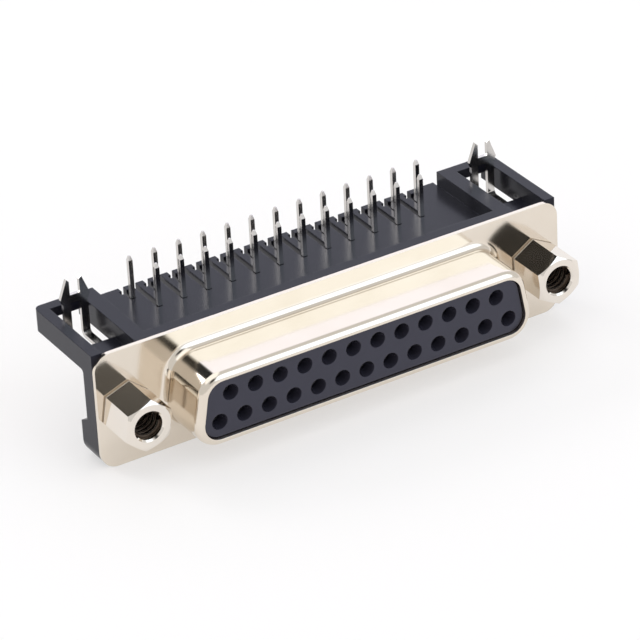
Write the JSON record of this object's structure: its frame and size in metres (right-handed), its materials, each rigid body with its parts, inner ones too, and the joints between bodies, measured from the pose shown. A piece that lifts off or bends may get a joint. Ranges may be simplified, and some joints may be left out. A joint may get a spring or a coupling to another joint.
{
  "type": "d-sub connector",
  "caption": "Right-angle D-shaped socket connector for a circuit board, with hex jack standoffs, fork board locks and straight solder tails.",
  "frame": {"origin": "middle of the flange's lower edge, on the front face of the flange", "axes": "+X along the connector to its right as seen from behind the flange's front, +Y from the mating side to the rear, +Z towards the circuit board"},
  "size_m": [0.053, 0.019, 0.0163],
  "materials": {
    "plated_steel": "satin nickel plating",
    "black_plastic": "glass-filled thermoplastic, satin",
    "tinned_contact": "bright tin plating on copper alloy",
    "tinned_lock": "bright tin plating on copper alloy",
    "plated_brass": "bright nickel plating on brass"
  },
  "bodies": {
    "root": {"front_shell": "plated_steel", "socket_insulator": "black_plastic", "board_bracket": "black_plastic", "contact_01": "tinned_contact", "contact_02": "tinned_contact", "contact_03": "tinned_contact", "contact_04": "tinned_contact", "contact_05": "tinned_contact", "contact_06": "tinned_contact", "contact_07": "tinned_contact", "contact_08": "tinned_contact", "contact_09": "tinned_contact", "contact_10": "tinned_contact", "contact_11": "tinned_contact", "contact_12": "tinned_contact", "contact_13": "tinned_contact", "contact_14": "tinned_contact", "contact_15": "tinned_contact", "contact_16": "tinned_contact", "contact_17": "tinned_contact", "contact_18": "tinned_contact", "contact_19": "tinned_contact", "contact_20": "tinned_contact", "contact_21": "tinned_contact", "contact_22": "tinned_contact", "contact_23": "tinned_contact", "contact_24": "tinned_contact", "contact_25": "tinned_contact", "board_lock_left": "tinned_lock", "board_lock_right": "tinned_lock", "hex_standoff_left": "plated_brass", "hex_standoff_right": "plated_brass"}
  },
  "joints": []
}
